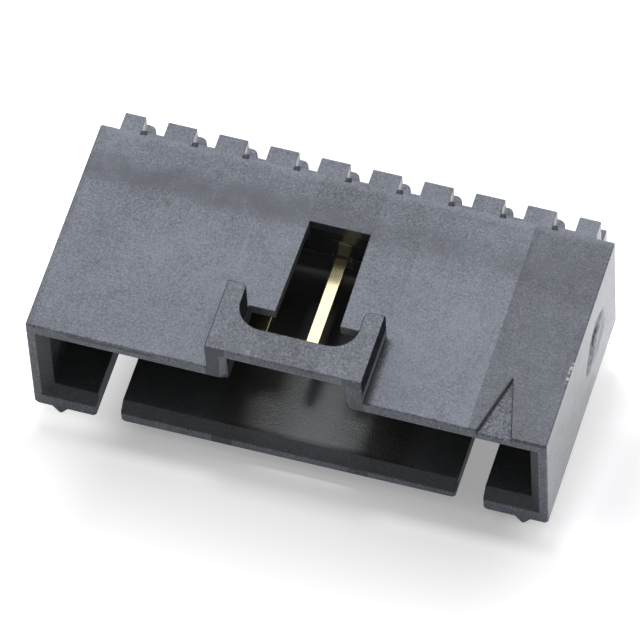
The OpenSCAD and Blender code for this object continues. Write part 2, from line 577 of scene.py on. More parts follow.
@dataclass(frozen=True)
class MouldPanel:
    """Strip of the top face that one mould insert forms, a little lighter or darker than the rest."""

    left: float
    right: float
    tone: float
    fade: float = 0.03

    def mask(self, spot: Spot, body: Socket) -> Socket:
        """Returns the strip's mask on the body of the top face."""
        return spot.board.both(body, spot.board.band(spot.x, self.left, self.right, self.fade))


@dataclass(frozen=True)
class FlashLine:
    """Fine dark line of flash on the mating face, just under its upper edge."""

    left: float
    right: float
    drop: float
    half_height: float
    tone: float
    fade: float = 0.5
    wander: float = 0.12
    grain: Grain = Grain(0.5, 3.0)
    skin: Ramp = Ramp(0.06, 0.04)

    def mask(self, spot: Spot, plan: HousingPlan) -> Socket:
        """Marks the line.

        Args:
            spot: The shaded point.
            plan: The housing's planes.

        Returns:
            The line's mask.
        """
        board, level = spot.board, plan.top - self.drop
        height = board.math("MULTIPLY_ADD", spot.noise(self.grain), self.wander, spot.z)
        return board.both(
            board.band(height, level, level, self.half_height * 2),
            board.band(spot.x, self.left, self.right, self.fade),
            board.span(spot.y, self.skin.past(plan.front)),
        )


@dataclass(frozen=True)
class TriangleEdgeShade:
    """Painted shade along one edge of the circuit-one triangle's recess: a dark, ragged line, which leans
    one way from its tip.
    """

    way: float
    ragged: float
    width: float
    grain: Grain = Grain(0.2)
    tip: Ramp = Ramp(0.0, -0.1)

    def mask(self, spot: Spot, plan: HousingPlan) -> Socket:
        """Marks the line.

        Args:
            spot: The shaded point.
            plan: The housing's planes.

        Returns:
            The line's mask.
        """
        board, depth = spot.board, plan.mark_depth
        slope, (apex_x, apex_y) = self.way * plan.mark_width / 2 / plan.mark_length, plan.mark_apex
        run, edge = board.math("MULTIPLY_ADD", spot.y, slope, spot.x), apex_x + apex_y * slope
        rough = board.math("MULTIPLY_ADD", spot.noise(self.grain), self.ragged, run)
        return board.both(
            board.band(rough, edge, edge, self.width),
            board.span(spot.y, self.tip.past(apex_y)),
            board.span(spot.z, Ramp(-2 * depth, -depth).past(plan.top)),
        )


@dataclass(frozen=True)
class BridgeLeg:
    """Front of one leg of the bridge, darker than the rest of the mating face."""

    way: float
    tone: float
    fade: float = 0.03

    def mask(self, spot: Spot, plan: HousingPlan, front: Socket) -> Socket:
        """Returns the mask of the leg's front, as a part of the mating face."""
        inner, outer = self.way * plan.leg_side, self.way * plan.bridge_side
        return spot.board.both(front, spot.board.band(spot.x, inner, outer, self.fade))


@dataclass(frozen=True)
class PaintedFootShade:
    """Painted shade along the foot of the bridge's side at circuit one."""

    edge: Ramp = Ramp(-0.02, 0.0)
    outer: Ramp = Ramp(0.5, 0.1)
    rear: Ramp = Ramp(0.0, -0.4)
    low: float = -0.01
    high: float = 0.1
    fade: float = 0.05

    def mask(self, spot: Spot, plan: HousingPlan) -> Socket:
        """Marks the painted shade.

        Args:
            spot: The shaded point.
            plan: The housing's planes.

        Returns:
            The painted shade's mask.
        """
        board = spot.board
        return board.both(
            board.span(spot.x, self.edge.past(plan.bridge_side)),
            board.span(spot.x, self.outer.past(plan.bridge_side)),
            board.band(spot.z, plan.top + self.low, plan.top + self.high, self.fade),
            board.span(spot.y, self.rear.past(plan.leg_rear)),
        )


@dataclass(frozen=True)
class PaintedFloorLight:
    """Painted light on the cavity floor under the passage, a pale patch with a dim strip of painted shade
    on both sides of it.
    """

    middle: float = 0.9
    level: Ramp = Ramp(0.9, 0.98)
    reach: Ramp = Ramp(-8.2, -9.2)
    pale: Ramp = Ramp(0.3, 1.9, 0.75, 0.0)
    dim: Ramp = Ramp(1.3, 3.0, 0.0, 0.85)
    dim_end: Ramp = Ramp(5.5, 4.0)

    def masks(self, spot: Spot, inner: Socket) -> tuple[Socket, Socket]:
        """Marks the painted light and shade on the floor.

        Args:
            spot: The shaded point.
            inner: The cavity's mask.

        Returns:
            The masks of the pale painted light and of the dim painted shade.
        """
        board = spot.board
        floor = board.both(inner, board.span(spot.face_z, self.level), board.span(spot.y, self.reach))
        offset = board.offset(spot.x, self.middle)
        dim = board.both(board.span(offset, self.dim), board.span(offset, self.dim_end))
        return board.both(floor, board.span(offset, self.pale)), board.both(floor, dim)


@dataclass(frozen=True)
class SinkBand:
    """Dull band where the top has sunk over the cavity's rear wall."""

    front: float = -3.45
    rear: float = -3.0
    fade: float = 0.9
    wander: float = 1.1
    drift: Grain = Grain(2.2)
    patch: Grain = Grain(1.3)
    along: Ramp = Ramp(-4.5, 4.0, 1.0, 0.45)
    patchy: Ramp = Ramp(-0.25, 0.2, 0.35, 1.0)

    def mask(self, spot: Spot, top: Socket) -> Socket:
        """Marks the band.

        Args:
            spot: The shaded point.
            top: The top face's mask.

        Returns:
            The band's mask.
        """
        board = spot.board
        run = board.math("MULTIPLY_ADD", spot.noise(self.drift), self.wander, spot.y)
        across = board.band(run, self.front, self.rear, self.fade)
        return board.both(
            across, board.span(spot.x, self.along), spot.patches(self.patch, self.patchy), top
        )


@dataclass(frozen=True)
class EndScuffs:
    """Pale scuffs along the upper edge of the end face at circuit one."""

    middle: float = -8.5
    grain: Grain = Grain(0.2)
    edge: Ramp = Ramp(-0.2, -0.08)
    upper: Ramp = Ramp(-0.14, -0.06)
    along: Ramp = Ramp(0.0, 1.6, 0.25, 0.0)
    torn: Ramp = Ramp(0.24, 0.30)

    def mask(self, spot: Spot, plan: HousingPlan) -> Socket:
        """Marks the scuffs.

        Args:
            spot: The shaded point.
            plan: The housing's planes.

        Returns:
            The scuffs' mask.
        """
        board = spot.board
        along = board.span(board.offset(spot.y, self.middle), self.along)
        return board.both(
            board.span(spot.x, self.edge.past(plan.half_width)),
            board.span(spot.z, self.upper.past(plan.top)),
            board.span(board.math("ADD", spot.noise(self.grain), along), self.torn),
        )


@dataclass(frozen=True)
class GateScar:
    """Torn, dull plastic that trails forward and down from the gate, with hollows and burrs in it."""

    lean: float = 28.0
    trail: float = 0.4
    half_length: float = 1.75
    half_height: float = 1.05
    spread: float = 1.1
    outline: Grain = Grain(0.6, 3.0)
    tear: Grain = Grain(0.3, 3.0)
    hollow: Grain = Grain(0.4)
    burr: Grain = Grain(0.24)
    ring: Ramp = Ramp(0.6, 1.15, 1.0, 0.0)
    skin: Ramp = Ramp(-0.9, -0.8)
    torn: Ramp = Ramp(-0.2, 0.12, 0.25, 1.0)
    hollowed: Ramp = Ramp(0.05, 0.15, 0.0, 0.8)
    burred: Ramp = Ramp(0.1, 0.2, 0.0, 0.5)

    def mask(self, spot: Spot, plan: HousingPlan) -> Socket:
        """Marks the scar, an ellipse with a ragged outline.

        Args:
            spot: The shaded point.
            plan: The housing's planes.

        Returns:
            The scar's mask.
        """
        board, (x, y, z) = spot.board, plan.gate
        sine, cosine = math.sin(math.radians(self.lean)), math.cos(math.radians(self.lean))
        back, rise = board.math("SUBTRACT", spot.y, y - self.trail), board.math("SUBTRACT", spot.z, z)
        long, high = self.half_length, self.half_height
        along = board.total(0.0, (back, cosine / long), (rise, sine / long))
        across = board.total(0.0, (back, -sine / high), (rise, cosine / high))
        ragged = spot.noise(self.outline), self.spread
        reach = board.total(0.0, (along, along), (across, across), ragged)
        side = board.span(spot.x, self.skin.past(x))
        return board.both(board.span(reach, self.ring), side, spot.patches(self.tear, self.torn))

    def tears(self, spot: Spot, scar: Socket) -> tuple[Socket, Socket]:
        """Returns masks for the scar's hollows, which are painted black as shade, and for its pale burrs.
        """
        hollow = spot.board.both(scar, spot.patches(self.hollow, self.hollowed))
        return hollow, spot.board.both(scar, spot.patches(self.burr, self.burred))


@dataclass(frozen=True)
class Relief:
    """How high each layer of grain stands, and how much more or less of it some places keep."""

    depth: float = 0.02
    fine: float = 0.9
    coarse: float = 0.9
    clump: float = 0.4
    ends: float = -0.85
    wall: float = -0.9
    insert: float = -0.25
    mark: float = 0.5
    scar: float = 0.6


@dataclass(frozen=True)
class Tones:
    """How much each thing lightens or darkens the plastic, between its dark and its light colour."""

    plain: float = 0.5
    grain: float = 1.0
    specks: float = 0.4
    mottle: float = 0.35
    cloud: float = 0.3
    # painted reflection: lighter polished end faces and comb sides
    ends: float = 0.2
    scar: float = -0.4
    # painted shade on the bridge's sides
    sides: float = -0.6
    bridge_top: float = -0.16
    # painted shade on the mating face
    front: float = -0.1
    # painted shade along the foot of the bridge's side
    foot_shade: float = -0.9
    rim: float = -0.5
    # painted shade along the triangle's edges
    triangle: float = -0.75


@dataclass(frozen=True)
class Cover:
    """How much of some places another colour covers: the sunk band, and painted shade far in the cavity,
    on the window's walls, on the teeth's roots and on the bridge's sides.
    """

    sink: float = 0.9
    far: float = 0.5
    edges: float = 0.85
    shade: float = 0.65


@dataclass(frozen=True)
class Polish:
    """Roughness of the plastic and of its two polished places, and what other places add to it."""

    plain: float = 0.5
    ends: float = 0.12
    wall: float = 0.13
    grain: float = 0.15
    haze: float = 0.08
    scar: float = 0.4
    sides: float = 0.45
    roots: float = 0.5
    far_floor: float = 0.4
    wall_shade: float = 0.5
    lead_in: float = 0.3


@dataclass(frozen=True)
class Zones:
    """Masks of the housing's places that have a look of their own."""

    inner: Socket
    edges: Socket
    far: Socket
    wall: Socket
    wall_shade: Socket
    ends: Socket
    roots: Socket
    sides: Socket
    top: Socket
    insert: Socket
    mark: Socket
    front: Socket
    scar: Socket


@dataclass(frozen=True)
class GrainedPlastic:
    """Black moulding compound: eroded grain, polished ends and a polished wall, with painted shade inside
    and on some sides and a painted reflection on the ends.
    """

    plan: HousingPlan
    name: str = "black_moulding"
    specular: float = 0.5
    index: float = 1.6
    dark: Colour = (0.012, 0.015, 0.024)
    light: Colour = (0.189, 0.210, 0.264)
    sunk: Colour = (0.052, 0.057, 0.082)
    # painted shade in the cavity and on the window's walls
    inside: Colour = (0.024, 0.027, 0.027)
    # painted shade far in the cavity, on the rear wall's foot, the teeth's roots and the bridge's sides,
    # and in the scar's hollows
    black: Colour = (0.004, 0.004, 0.004)
    chalk: Colour = (0.42, 0.42, 0.42)
    # painted light on the cavity floor under the passage
    painted_light: Colour = (0.098, 0.104, 0.118)
    fine: Grain = Grain(0.062, 0.0)
    coarse: Grain = Grain(0.135, 1.0)
    clump: Grain = Grain(0.38)
    speck: Grain = Grain(0.12, 0.0)
    mottle: Grain = Grain(1.1, 3.0)
    cloud: Grain = Grain(4.0, 1.0)
    specked: Ramp = Ramp(0.15, 0.27)
    hazy: Ramp = Ramp(-0.1, 0.25)
    relief: Relief = Relief()
    tones: Tones = Tones()
    cover: Cover = Cover()
    polish: Polish = Polish()
    end_facing: Ramp = Ramp(0.75, 0.95)
    side_facing: Ramp = Ramp(0.45, 0.75)
    front_facing: Ramp = Ramp(-0.8, -0.95)
    wall_facing: Ramp = Ramp(-0.9, -0.98)
    floor_facing: Ramp = Ramp(0.5, 0.9)
    wall_skin: Ramp = Ramp(-0.1, -0.05)
    top_skin: Ramp = Ramp(-0.03, -0.01)
    front_skin: Ramp = Ramp(0.1, 0.05)
    end_skin: Ramp = Ramp(-0.3, -0.25)
    comb_skin: Ramp = Ramp(0.0, 0.02)
    side_foot: Ramp = Ramp(-0.02, 0.02)
    polished_from: Ramp = Ramp(4.55, 4.95)
    insert_from: Ramp = Ramp(8.87, 8.93)
    body_rear: Ramp = Ramp(-0.1, -0.2)
    bridge_top: Ramp = Ramp(1.0, 1.5)
    rim_foot: Ramp = Ramp(0.2, 0.4)
    rim_skin: Ramp = Ramp(-0.1, -0.05)
    root_lean: float = 0.67
    root: Ramp = Ramp(0.25, 0.18)
    # painted shade: how much the inside colour covers deeper into the cavity, and where black covers far
    # in
    deep: Ramp = Ramp(0.0, 3.5, 0.78, 0.92)
    far: Ramp = Ramp(0.5, 3.0)
    lead_in: Ramp = Ramp(0.8, 0.5)
    foot_shade: PaintedFootShade = PaintedFootShade()
    painted_floor_light: PaintedFloorLight = PaintedFloorLight()
    sink: SinkBand = SinkBand()
    scuffs: EndScuffs = EndScuffs()
    scar: GateScar = GateScar()
    legs: tuple[BridgeLeg, ...] = (BridgeLeg(-1.0, -0.7), BridgeLeg(1.0, -0.35))
    triangle: tuple[TriangleEdgeShade, ...] = (TriangleEdgeShade(1.0, 0.12, 0.06), TriangleEdgeShade(-1.0, 0.03, 0.13))
    top_bands: tuple[Patch, ...] = (
        Patch((), (Ramp(-5.2, -3.6),), -0.15),
        Patch((), (Ramp(-1.5, -1.0),), 0.26),
    )
    corners: tuple[Patch, ...] = (
        Patch((Ramp(-9.0, -12.0),), (Ramp(-5.0, -2.5),), 0.16),
        Patch((Ramp(8.9, 9.3),), (Ramp(-5.0, -2.5),), 0.16),
        Patch((Ramp(-8.0, -11.5),), (Ramp(-10.0, -12.5),), -0.16),
    )
    panels: tuple[MouldPanel, ...] = (
        MouldPanel(-12.4, -4.05, 0.14),
        MouldPanel(-4.05, -1.6, 0.14),
        MouldPanel(1.6, 3.85, 0.12),
        MouldPanel(3.85, 8.9, 0.2),
        MouldPanel(8.9, 13.0, -0.15),
    )
    lines: tuple[MouldLine, ...] = (
        MouldLine(3.85, -3.8, -6.4, 0.015, -0.5),
        MouldLine(-4.05, -1.3, -6.3, 0.015, 0.3),
        MouldLine(8.9, -1.4, -11.6, 0.02, -0.3),
    )
    flash: tuple[FlashLine, ...] = (
        FlashLine(-10.3, -6.6, 0.2, 0.08, -0.7),
        FlashLine(10.9, 12.6, 0.12, 0.06, -0.7),
    )

    def material(self) -> bpy.types.Material:
        """Makes the finish.

        Returns:
            The finish as a material.
        """
        material, board, shader = new_material(self.name)
        spot = Spot.on(board)
        zones = self.zones(spot)
        coarse, mottle = spot.noise(self.coarse), spot.noise(self.mottle)
        keep = self.grain_kept(board, zones)
        grain = self.grain_height(spot, coarse, keep)
        share = self.tone(spot, zones, grain, keep, mottle)
        board.join(self.colour(spot, zones, share), shader.inputs["Base Color"])
        board.join(self.roughness(spot, zones, coarse, mottle), shader.inputs["Roughness"])
        board.join(board.bump(grain, self.relief.depth), shader.inputs["Normal"])
        shader.inputs["IOR"].default_value = self.index
        shader.inputs["Specular IOR Level"].default_value = self.specular
        return material

    def zones(self, spot: Spot) -> Zones:
        """Marks the places that have a look of their own.

        Args:
            spot: The shaded point.

        Returns:
            Their masks.
        """
        board, plan = spot.board, self.plan
        inner = board.in_rooms(spot.axes, plan.cavity_rooms())
        edges = board.in_rooms(spot.axes, plan.edge_rooms())
        rear = board.span(spot.y, self.wall_skin.past(plan.cavity_rear))
        back = board.both(board.span(spot.face_y, self.wall_facing), board.any_of(inner, edges), rear)
        wall = board.both(back, board.span(spot.z, self.polished_from))
        top = board.span(spot.z, self.top_skin.past(plan.top))
        facing_side = board.span(spot.sideways, self.side_facing)
        facing_front = board.span(spot.face_y, self.front_facing)
        return Zones(
            inner=inner,
            edges=edges,
            far=board.both(inner, board.span(spot.y, self.far.past(plan.shoulder))),
            wall=wall,
            # the rear wall below its polish, which gets painted shade
            wall_shade=board.math("SUBTRACT", back, wall),
            ends=self.end_mask(spot),
            roots=self.root_mask(spot),
            # the bridge's sides, which get painted shade
            sides=board.both(facing_side, board.span(spot.z, self.side_foot.past(plan.top))),
            top=top,
            insert=board.both(top, board.span(spot.x, self.insert_from)),
            mark=board.in_room(spot.axes, plan.mark_room()),
            front=board.both(facing_front, board.span(spot.y, self.front_skin.past(plan.front))),
            scar=self.scar.mask(spot, plan),
        )

    def end_mask(self, spot: Spot) -> Socket:
        """Marks the polished end faces and the sides of the comb.

        Args:
            spot: The shaded point.

        Returns:
            The mask.
        """
        board, plan = spot.board, self.plan
        end = board.span(board.math("ABSOLUTE", spot.x), self.end_skin.past(plan.half_width))
        comb = board.span(spot.y, self.comb_skin.past(plan.comb_rear))
        return board.both(board.span(spot.sideways, self.end_facing), board.any_of(end, comb))

    def root_mask(self, spot: Spot) -> Socket:
        """Marks the roots of the teeth, down into the relief notches, where shade is painted.

        Args:
            spot: The shaded point.

        Returns:
            The mask.
        """
        board, plan = spot.board, self.plan
        slant = board.math("MULTIPLY_ADD", spot.z, self.root_lean, spot.y)
        edge = plan.top * self.root_lean + plan.comb_rear - plan.notch_depth
        return board.both(
            board.in_room(spot.axes, plan.comb_room()),
            board.span(spot.sideways, self.end_facing),
            board.span(slant, self.root.past(edge)),
        )

    def rim_mask(self, spot: Spot) -> Socket:
        """Returns a mask for the dark rim along the rear edge of the bridge's legs."""
        upper = spot.board.span(spot.z, self.rim_foot.past(self.plan.top))
        return spot.board.both(upper, spot.board.span(spot.y, self.rim_skin.past(self.plan.leg_rear)))

    def grain_kept(self, board: ShaderBoard, zones: Zones) -> Socket:
        """Finds how much of the grain each place keeps.

        Args:
            board: The material's board.
            zones: The masks of the places.

        Returns:
            The share's socket.
        """
        relief = self.relief
        return board.total(
            1.0,
            (zones.ends, relief.ends),
            (zones.wall, relief.wall),
            (zones.insert, relief.insert),
            (zones.mark, relief.mark),
            (zones.scar, relief.scar),
        )

    def grain_height(self, spot: Spot, coarse: Socket, keep: Socket) -> Socket:
        """Adds the layers of the grain.

        Args:
            spot: The shaded point.
            coarse: The coarse layer.
            keep: How much of the grain a place keeps.

        Returns:
            The height's socket.
        """
        relief = self.relief
        layers = (
            (spot.noise(self.fine), relief.fine),
            (coarse, relief.coarse),
            (spot.noise(self.clump), relief.clump),
        )
        return spot.board.both(spot.board.total(0.0, *layers), keep)

    def tone(self, spot: Spot, zones: Zones, grain: Socket, keep: Socket, mottle: Socket) -> Socket:
        """Finds where the plastic lies between its dark and its light colour.

        Args:
            spot: The shaded point.
            zones: The masks of the places.
            grain: The grain's height.
            keep: How much of the grain a place keeps.
            mottle: Noise of the mottled places.

        Returns:
            The socket of the light colour's share.
        """
        board, plan, tones, top = spot.board, self.plan, self.tones, zones.top
        body = board.both(top, board.span(spot.y, self.body_rear.past(plan.comb_rear)))
        triangle = board.any_of(*(edge.mask(spot, plan) for edge in self.triangle))
        return board.total(
            tones.plain,
            (grain, tones.grain),
            (board.both(spot.patches(self.speck, self.specked), keep), tones.specks),
            (mottle, tones.mottle),
            (spot.noise(self.cloud), tones.cloud),
            # painted reflection that lightens the polished end faces and comb sides
            (zones.ends, tones.ends),
            (zones.scar, tones.scar),
            # painted shade on the bridge's sides
            (zones.sides, tones.sides),
            (board.span(spot.z, self.bridge_top.past(plan.top)), tones.bridge_top),
            # painted shade on the mating face
            (zones.front, tones.front),
            # painted shade along the foot of the bridge's side
            (self.foot_shade.mask(spot, plan), tones.foot_shade),
            (self.rim_mask(spot), tones.rim),
            # painted shade along the triangle's edges
            (triangle, tones.triangle),
            *((board.both(top, band.mask(board, spot.x, spot.y)), band.tone) for band in self.top_bands),
            *((corner.mask(board, spot.x, spot.y), corner.tone) for corner in self.corners),
            *((leg.mask(spot, plan, zones.front), leg.tone) for leg in self.legs),
            *((panel.mask(spot, body), panel.tone) for panel in self.panels),
            *((line.mask(spot, top), line.tone) for line in self.lines),
            *((line.mask(spot, plan), line.tone) for line in self.flash),
            clamp=True,
        )

    def colour(self, spot: Spot, zones: Zones, share: Socket) -> Socket:
        """Colours the plastic, and covers some places with other colours in turn, among them painted shade
        and painted light.

        Args:
            spot: The shaded point.
            zones: The masks of the places.
            share: The light colour's share.

        Returns:
            The colour's socket.
        """
        board, plan, cover = spot.board, self.plan, self.cover
        pale, dim = self.painted_floor_light.masks(spot, zones.inner)
        hollow, burr = self.scar.tears(spot, zones.scar)
        # painted shade on the teeth's roots and the bridge's sides
        shade = board.both(board.any_of(zones.roots, zones.sides), cover.shade)
        result = board.blend(share, self.dark, self.light)
        for mask, paint in (
            (board.both(self.sink.mask(spot, zones.top), cover.sink), self.sunk),
            # painted shade: the inside colour, deeper into the cavity
            (board.both(zones.inner, board.span(spot.y, self.deep.past(plan.front))), self.inside),
            # painted shade: black far in the cavity
            (board.both(zones.far, cover.far), self.black),
            # painted light on the cavity floor, with painted shade on both sides of it
            (pale, self.painted_light),
            (dim, self.black),
            # painted shade on the window's walls and the legs' inner sides
            (board.both(zones.edges, cover.edges), self.inside),
            # painted shade: black on the rear wall below its polish, on the teeth's roots and on the
            # bridge's sides
            (board.any_of(zones.wall_shade, shade), self.black),
            # painted shade in the scar's hollows
            (hollow, self.black),
            (board.any_of(self.scuffs.mask(spot, plan), burr), self.chalk),
        ):
            result = board.blend(mask, result, paint)
        return result

    def roughness(self, spot: Spot, zones: Zones, coarse: Socket, mottle: Socket) -> Socket:
        """Finds how rough the plastic is.

        Args:
            spot: The shaded point.
            zones: The masks of the places.
            coarse: The coarse layer of the grain.
            mottle: Noise of the mottled places.

        Returns:
            The roughness's socket.
        """
        board, polish = spot.board, self.polish
        lead_in = board.span(spot.y, self.lead_in.past(self.plan.front))
        return board.total(
            polish.plain,
            (coarse, polish.grain),
            (zones.ends, polish.ends - polish.plain),
            (zones.wall, polish.wall - polish.plain),
            (board.both(zones.ends, board.span(mottle, self.hazy)), polish.haze),
            (zones.scar, polish.scar),
            (zones.sides, polish.sides),
            (zones.roots, polish.roots),
            (board.both(zones.far, board.span(spot.face_z, self.floor_facing)), polish.far_floor),
            (zones.wall_shade, polish.wall_shade),
            (board.both(zones.inner, lead_in), polish.lead_in),
            clamp=True,
        )


@dataclass(frozen=True)
class GoldPlating:
    """Gold over the mating end of the contacts, drawn in fine streaks, and tin over their tails."""

    name: str = "gold_contact"
    deep: Colour = (0.84, 0.68, 0.34)
    bright: Colour = (0.97, 0.89, 0.62)
    tin: Colour = (0.70, 0.69, 0.67)
    tinned: Ramp = Ramp(2.9, 2.5)
    tin_wander: float = 0.5
    streak: Grain = Grain(0.05)
    streak_stretch: float = 0.03
    stain: Grain = Grain(0.5, 3.0)
    plain_tone: float = 0.6
    streak_tone: float = 0.5
    stain_tone: float = 0.4
    roughness: float = 0.19
    streak_roughness: float = 0.04
    tin_roughness: float = 0.12

    def material(self) -> bpy.types.Material:
        """Makes the finish.

        Returns:
            The finish as a material.
        """
        material, board, shader = new_material(self.name)
        place = board.place_mm()
        drawn = board.add("ShaderNodeVectorMath", operation="MULTIPLY")
        board.join(place, drawn.inputs[0])
        drawn.inputs[1].default_value = (1.0, self.streak_stretch, self.streak_stretch)
        streak, stain = board.noise(drawn.outputs[0], self.streak), board.noise(place, self.stain)
        toned = (streak, self.streak_tone), (stain, self.stain_tone)
        colour = board.blend(board.total(self.plain_tone, *toned, clamp=True), self.deep, self.bright)
        edge = board.math("MULTIPLY_ADD", stain, self.tin_wander, board.axes(place)[2])
        tinned = board.span(edge, self.tinned)
        board.join(board.blend(tinned, colour, self.tin), shader.inputs["Base Color"])
        rough = (streak, self.streak_roughness), (tinned, self.tin_roughness)
        board.join(board.total(self.roughness, *rough), shader.inputs["Roughness"])
        shader.inputs["Metallic"].default_value = 1.0
        return material


@dataclass
class Housing:
    """The moulded housing, with its latch groove and the small radii that its mould leaves."""

    node: str = "housing"
    body: str = "root"
    piece: str = "housing_moulding"
    outer_radius: float = 0.1
    inner_radius: float = 0.04
    edge_steps: int = 3
    edge_angle: float = 25.0
    edge_near: float = 0.02
    weld: float = 0.002
    gate_reach: float = 1.6
    groove_lap: float = 0.05
    groove_dip: float = 0.1
    dull_specular: float = 0.12
    dull_facing: float = 0.9
    finish: GrainedPlastic = field(default_factory=lambda: GrainedPlastic(HousingPlan()))

    def build(self) -> bpy.types.Object:
        """Makes the moulding in place of the plain solid, with its groove and rounded edges.

        Returns:
            The moulding's object.
        """
        shape = bpy.data.objects.new(self.piece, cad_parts[self.node].data.copy())
        bpy.context.scene.collection.objects.link(shape)
        self.cut_groove(shape)
        self.weigh_edges(shape)
        round_edges(shape, self.outer_radius, self.edge_steps)
        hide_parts(self.node)
        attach(shape, self.body)
        return shape

    def cut_groove(self, shape: bpy.types.Object) -> None:
        """Cuts the groove that runs on from the passage, under the top wall.

        Args:
            shape: The moulding's object, which gets a new mesh.
        """
        plan = self.finish.plan
        low = Vector((0.0, plan.shoulder - self.groove_lap, plan.top - plan.top_wall - self.groove_dip))
        high = Vector((0.0, plan.cavity_rear - plan.groove_stop, plan.top - plan.groove_wall))
        size = high - low
        size.x = 2 * plan.leg_side
        group = bpy.data.node_groups.new("latch_groove", "GeometryNodeTree")
        for way in ("INPUT", "OUTPUT"):
            group.interface.new_socket("Geometry", in_out=way, socket_type="NodeSocketGeometry")
        board = ShaderBoard(group)
        block = board.add("GeometryNodeMeshCube")
        block.inputs["Size"].default_value = size * MM
        move = board.add("GeometryNodeTransform")
        move.inputs["Translation"].default_value = (low + high) / 2 * MM
        cut = board.add("GeometryNodeMeshBoolean", operation="DIFFERENCE", solver="EXACT")
        board.join(block.outputs["Mesh"], move.inputs["Geometry"])
        board.join(board.add("NodeGroupInput").outputs[0], cut.inputs["Mesh 1"])
        board.join(move.outputs["Geometry"], cut.inputs["Mesh 2"])
        board.join(cut.outputs["Mesh"], board.add("NodeGroupOutput").inputs[0])
        shape.modifiers.new("latch_groove", "NODES").node_group = group
        graph = bpy.context.evaluated_depsgraph_get()
        grooved = bpy.data.meshes.new_from_object(shape.evaluated_get(graph))
        shape.modifiers.clear()
        shape.data = grooved

    def weigh_edges(self, shape: bpy.types.Object) -> None:
        """Joins flat faces and marks each outward edge with its share of the outer radius.

        Args:
            shape: The moulding's object.
        """
        solid = bmesh.new()
        solid.from_mesh(shape.data)
        bmesh.ops.remove_doubles(solid, verts=solid.verts, dist=self.weld * MM)
        bmesh.ops.dissolve_limit(
            solid, angle_limit=math.radians(FLAT_ANGLE), verts=solid.verts, edges=solid.edges
        )
        weight = solid.edges.layers.float.new("bevel_weight_edge")
        low, high = self.finish.plan.corners
        gate, near = Vector(self.finish.plan.gate), self.edge_near
        for edge in solid.edges:
            if edge.calc_face_angle_signed(0.0) <= math.radians(self.edge_angle):
                continue
            ends = [vert.co / MM for vert in edge.verts]
            outer = (
                all(end.z > high.z - near for end in ends)
                or all(abs(end.x) > high.x - near for end in ends)
                or all(end.y < low.y + near for end in ends)
            )
            clear = all((end - gate).length > self.gate_reach for end in ends)
            edge[weight] = 1.0 if outer and clear else self.inner_radius / self.outer_radius
        solid.to_mesh(shape.data)
        solid.free()

    def dress(self, shape: bpy.types.Object) -> None:
        """Gives the housing its grain, and the bridge's sides a dull one.

        Args:
            shape: The moulding's object.
        """
        dull = replace(self.finish, name=f"{self.finish.name}_dull", specular=self.dull_specular)
        shape.data.materials.clear()
        for finish in (self.finish, dull):
            shape.data.materials.append(finish.material())
        top = self.finish.plan.top * MM
        for face in shape.data.polygons:
            face.material_index = int(abs(face.normal.x) > self.dull_facing and face.center.z > top)


@dataclass
class ContactRow:
    """The row of square contacts."""

    prefix: str = "contact_pin_"
    edge_radius: float = 0.05
    edge_steps: int = 3
    edge_angle: float = 40.0
    finish: GoldPlating = field(default_factory=GoldPlating)

    def build(self) -> list[bpy.types.Object]:
        """Rounds the edges of each contact.

        Returns:
            The contacts' objects.
        """
        pins = [shape for name, shape in sorted(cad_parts.items()) if name.startswith(self.prefix)]
        for pin in pins:
            join_flats(pin)
            round_edges(pin, self.edge_radius, self.edge_steps, self.edge_angle)
        return pins

    def dress(self, pins: list[bpy.types.Object]) -> None:
        """Plates each contact.

        Args:
            pins: The contacts' objects.
        """
        gold = self.finish.material()
        for pin in pins:
            set_material(pin, gold)


@dataclass(frozen=True)
class Lamp:
    """A soft lamp, of a width and a depth, that looks at the part from a direction."""

    name: str
    way: Point
    width: float
    depth: float
    watts: float
    distance: float = 600.0

    def hang(self) -> None:
        """Hangs the lamp in the scene."""
        light = bpy.data.lights.new(self.name, "AREA")
        light.shape = "RECTANGLE"
        light.size, light.size_y = self.width * MM, self.depth * MM
        light.energy = self.watts
        lamp = bpy.data.objects.new(self.name, light)
        bpy.context.scene.collection.objects.link(lamp)
        way = Vector(self.way).normalized()
        lamp.location = way * self.distance * MM
        lamp.rotation_euler = way.to_track_quat("Z", "Y").to_euler()


